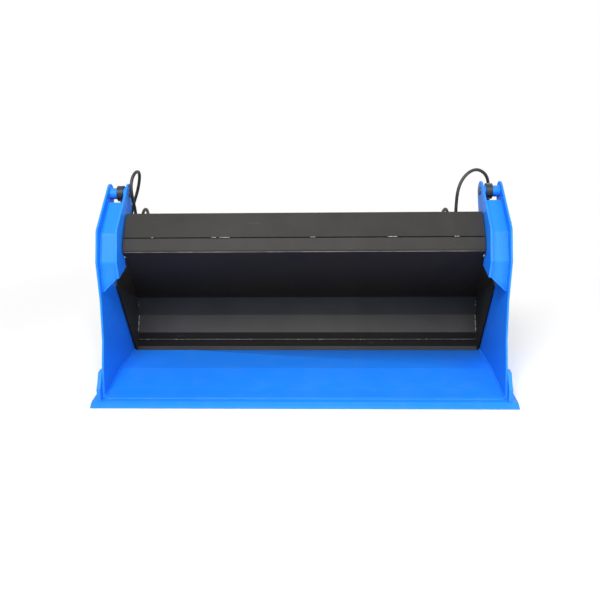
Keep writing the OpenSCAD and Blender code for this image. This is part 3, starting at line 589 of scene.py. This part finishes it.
# %% Crimped ends
def ferrule(name, line, body):
    axis = (line[3] - line[0]).normalized()
    steps = [(0.000, 8.2), (0.002, 9.2)]
    for k in range(4):
        groove = 0.005 * k
        steps += [(0.004 + groove, 9.2), (0.005 + groove, 8.3)]
        steps += [(0.007 + groove, 8.3), (0.008 + groove, 9.2)]
    steps += [(0.026, 9.2), (0.028, 7.2)]
    places = [line[0] + axis * step for step, radius in steps]
    vertices, faces = tube(places, [radius / 1000 for step, radius in steps], 20)
    piece(name, vertices, faces, "zinc_plated", body, smooth=False)


for name, line in lines.items():
    ferrule(name + "_crimp_a", line, "back_frame")
    ferrule(name + "_crimp_b", line[::-1], "barrel_" + ROUTES[name][0])
print(2 * len(lines), "crimped ends")

# %% [markdown]
# The plates of such a bucket are joined by fillet welds, and these beads tell the eye how it
# is made. They could be a bump on the paint, but a bead stands out of its corner and shows in
# the outline. So each is a thin tube laid in the corner, its radius pulsing like the
# welder's weave. Beads of one body and one finish share a mesh.


# %% Beads
def bead(points, radius, pitch=0.006):
    """One bead along a line of points, with ripples a pitch apart."""
    line, radii = [], []
    for a, b in zip(points, points[1:]):
        count = max(2, int((b - a).length / (pitch / 2)))
        line += [a.lerp(b, k / count) for k in range(count)]
    line.append(points[-1])
    for i in range(len(line)):
        wave = 0.07 * math.sin(i * 0.37) + 0.05 * math.sin(i * 1.9)
        radii.append(radius * (1 + wave + (0.08 if i % 2 else -0.08)))
    return tube(line, radii, 8)


def ring(x, centre, radius):
    """A full turn about a pin, with the last point on the first."""
    turns = [math.pi * k / 12 for k in range(25)]
    return [at(x, centre[0] + radius * math.cos(a), centre[1] + radius * math.sin(a))
            for a in turns]


def welds(name, beads, finish, body):
    vertices, faces = [], []
    for points, radius in beads:
        v, f = bead(points, radius)
        faces += [tuple(i + len(vertices) for i in face) for face in f]
        vertices += v
    piece(name, vertices, faces, finish, body)
    print(name, len(beads), "beads,", len(vertices), "vertices")


print("a ring about the hinge has", len(ring(0, HINGE, 27)), "points")

# %% [markdown]
# On the jaw the floor is welded to both sides and to the cutting edge, each pivot tube and
# each side cutter to its side, and each arm's folded cover to its two plates and its foot.
# The beads are painted over with the rest, so they wear the blue. Each line is given once,
# in the drawing's (Y, Z) pairs, and a sign puts it on the left and on the right.

# %% Welds of the jaw
FLOOR_END, SIDE_FACE, CUTTER_MIDDLE = 790, 801, 815
FLOOR_SEAM = [(52, 26), (110, 26), (295, 38), (570, 16)]
PLATE_GAP = (725.5, 790.5)
COVER_FOOT = (484, 424)
COVER_LINE = [(182, 542), (232, 646), (373, 741)]
jaw_beads = []
for s in (-1, 1):
    jaw_beads.append(([at(s * FLOOR_END, y, z) for y, z in FLOOR_SEAM], 0.0035))
    jaw_beads.append((ring(s * SIDE_FACE, HINGE, 27), 0.003))
    for x, foot in zip(PLATE_GAP, COVER_FOOT):
        jaw_beads.append(([at(s * x, y - 1.5, z) for y, z in [(180, foot)] + COVER_LINE], 0.0028))
    jaw_beads.append(([at(s * 790, 175, 424), at(s * 726, 175, 485)], 0.0028))
    jaw_beads.append(([at(s * SIDE_FACE, 111, 18), at(s * SIDE_FACE, 111, 119)], 0.0045))
    jaw_beads.append(([at(s * CUTTER_MIDDLE, 75, 17), at(s * CUTTER_MIDDLE, 109, 17)], 0.004))
jaw_beads.append(([at(-788, 49, 17.5), at(788, 49, 17.5)], 0.003))
welds("jaw_welds", jaw_beads, "blue_paint", "jaw")

# %% [markdown]
# On the black frame the folded sheet is welded to the end plates, the hitch plates to the beam,
# and the sheet's foot to the blade bar. The photograph shows bright dashes in the back corners,
# on the beam's joint and along the foot, where the beads catch the light: light grey metal dashes
# paint these highlights in, and go into a list of their own. A bead in a corner needs the sheet's
# depth at its height, which is read off between the sheet's own corners.

# %% Welds of the frame
SHEET_CORNER = [(613, 247), (604, 162), (562, 90), (557, 62)]
SHEET_END, GLINT_END = 778.5, 776.5
HITCH_SIDES = (492, 508)
CORNER_DASHES = ((98, 113), (117, 139), (143, 160), (205, 211), (222, 226))
BEAM_TACKS = ((-602, -588), (-362, -340), (-330, -286), (28, 52), (330, 372), (590, 612))


def on_sheet(z):
    """The point of the sheet's lower back at a height, between its two corners there."""
    upper, middle, lower = SHEET_CORNER[:3]
    top, foot = (upper, middle) if z > middle[1] else (middle, lower)
    share = (z - foot[1]) / (top[1] - foot[1])
    return foot[0] + share * (top[0] - foot[0]), z


# The second list holds painted highlights: light grey dashes on the weld beads.
frame_beads, weld_glint_beads = [], []
for s in (-1, 1):
    frame_beads.append(([at(s * SHEET_END, y, z) for y, z in SHEET_CORNER], 0.003))
    for x in HITCH_SIDES:
        frame_beads.append(([at(s * x, 426, 668), at(s * x, 426, 575)], 0.003))
    for dash in CORNER_DASHES:
        corner = [on_sheet(z) for z in dash]
        weld_glint_beads.append(([at(s * GLINT_END, y - 1.5, z) for y, z in corner], 0.0023))
for left, right in BEAM_TACKS:
    frame_beads.append(([at(left, 248.2, 623.8), at(right, 248.2, 623.8)], 0.0026))
    weld_glint_beads.append(([at(left + 2, 247.4, 624.6), at(right - 2, 247.4, 624.6)], 0.0017))
frame_beads.append(([at(-778, 549.5, 61), at(778, 549.5, 61)], 0.003))
# Painted highlights: short light grey dashes along the foot's weld.
for k in range(15):
    left = -740 + 102 * k + 38 * math.sin(2.3 * k)
    length = 12 + 7 * math.sin(1.7 * k + 0.6)
    weld_glint_beads.append(([at(left, 547.4, 61.6), at(left + length, 547.4, 61.6)], 0.0011))
welds("frame_welds", frame_beads, "black_paint", "back_frame")
welds("weld_glints", weld_glint_beads, "weld_glint_paint", "back_frame")

# %% [markdown]
# The beam's face plate only lies on the folded sheet between its tacks, which leaves a slit in
# shade: a dark tube paints that shade in. Below it the lip's folded edge and the ridge of the
# foot's weld catch the light: paler tubes paint these highlights in. Lines so thin could be
# painted on, but as thin tubes they stay sharp from near and far.

# %% Painted slit shade and edge highlights
BEAM_END, FOOT_END = 709, 774
# Painted shade: a dark tube along the slit under the beam's face plate.
slit_shade_line = [([at(-BEAM_END, 248.9, 623.9), at(BEAM_END, 248.9, 623.9)], 0.0019)]
# Painted highlights along the lip's folded edge and the ridge of the foot's weld.
edge_highlight_lines = [
    ([at(-BEAM_END, 221.6, 572.6), at(BEAM_END, 221.6, 572.6)], 0.0014),
    ([at(-FOOT_END, 547.4, 61.6), at(FOOT_END, 547.4, 61.6)], 0.001),
]
welds("beam_slit_shade", slit_shade_line, "slit_shade_paint", "back_frame")
welds("edge_highlights", edge_highlight_lines, "edge_highlight_paint", "back_frame")

# %% [markdown]
# The picture was cut out on white. A white floor that takes only a soft shadow keeps the bucket
# standing on something. Near the bucket the floor is lit, and further off it turns into the white
# of the world, so that no horizon shows. The floor and the world aren't part of the bucket.

# %% Floor
HALF_FLOOR = 30
ground = Finish("ground", Roughness=0.9)
ground.show("Base Color", (0.86, 0.86, 0.86))
across = ground.node("ShaderNodeVectorMath", {"operation": "LENGTH"}, {0: ground.place})
far = Level(ground, across.outputs["Value"]).rise(1.1, 2.2)
white = ground.node("ShaderNodeEmission", None, {"Color": (1, 1, 1), "Strength": 1.0})
seen = ground.node("ShaderNodeLightPath").outputs["Is Camera Ray"]
blend_in = ground.node("ShaderNodeMixShader", None, {
    0: far * Level(ground, seen), 1: ground.shader.outputs[0], 2: white.outputs[0]})
surface = ground.tree.nodes["Material Output"].inputs["Surface"]
ground.feed(surface, blend_in.outputs[0])

corners = [(x * HALF_FLOOR, y * HALF_FLOOR, 0) for x, y in ((-1, -1), (1, -1), (1, 1), (-1, 1))]
floor_mesh = bpy.data.meshes.new("studio_floor")
floor_mesh.from_pydata(corners, [], [(0, 1, 2, 3)])
floor_mesh.materials.append(ground.material)
studio_floor = bpy.data.objects.new("studio_floor", floor_mesh)
studio_floor.location.z = -0.0005
bpy.context.scene.collection.objects.link(studio_floor)
print("floor", 2 * HALF_FLOOR, "m wide")

# %% [markdown]
# The world lights the shadows softly, at less than half of full white. What the camera sees
# of it, and what shiny surfaces reflect, is full white all the same. A switch on the kind of
# ray does that, so the bucket isn't overlit for the sake of a white background.

# %% World
SHADE, WHITE = 0.42, 1.0
world = bpy.data.worlds.new("studio")
world.use_nodes = True
bpy.context.scene.world = world
sky_nodes = world.node_tree
light_path = sky_nodes.nodes.new("ShaderNodeLightPath")
shown = light_path.outputs["Is Camera Ray"]
for ray in ("Is Glossy Ray", "Is Transmission Ray"):
    either = sky_nodes.nodes.new("ShaderNodeMath")
    either.operation = "MAXIMUM"
    sky_nodes.links.new(shown, either.inputs[0])
    sky_nodes.links.new(light_path.outputs[ray], either.inputs[1])
    shown = either.outputs[0]
level = sky_nodes.nodes.new("ShaderNodeMapRange")
level.inputs["To Min"].default_value = SHADE
level.inputs["To Max"].default_value = WHITE
backdrop = sky_nodes.nodes["Background"]
backdrop.inputs["Color"].default_value = (1, 1, 1, 1)
sky_nodes.links.new(shown, level.inputs["Value"])
sky_nodes.links.new(level.outputs["Result"], backdrop.inputs["Strength"])
print("world", SHADE, "as light and", WHITE, "as seen")

# %% [markdown]
# The panels that face up and forward are bright and those that look down are dark, so the
# light came from above the photographer. One broad lamp does that. A weaker one opens the
# right side, and a third one from behind keeps the back from going black in other views.


# %% Lamps
def softbox(name, place, target, size, power):
    lamp = bpy.data.lights.new(name, "AREA")
    lamp.shape = "RECTANGLE"
    lamp.size, lamp.size_y = size
    lamp.energy = power
    thing = bpy.data.objects.new(name, lamp)
    thing.location = place
    thing.rotation_euler = (Vector(target) - Vector(place)).to_track_quat("-Z", "Y").to_euler()
    bpy.context.scene.collection.objects.link(thing)
    print(name, power, "W")


softbox("key", (-0.4, -2.8, 3.6), (0, 0, 0.3), (2.4, 1.2), 215)
softbox("fill", (2.6, -2.4, 1.8), (0, 0, 0.3), (1.8, 1.8), 30)
softbox("rim", (0.5, 2.6, 2.6), (0, 0.2, 0.4), (2.4, 1.2), 35)

# %% [markdown]

# %% [markdown]
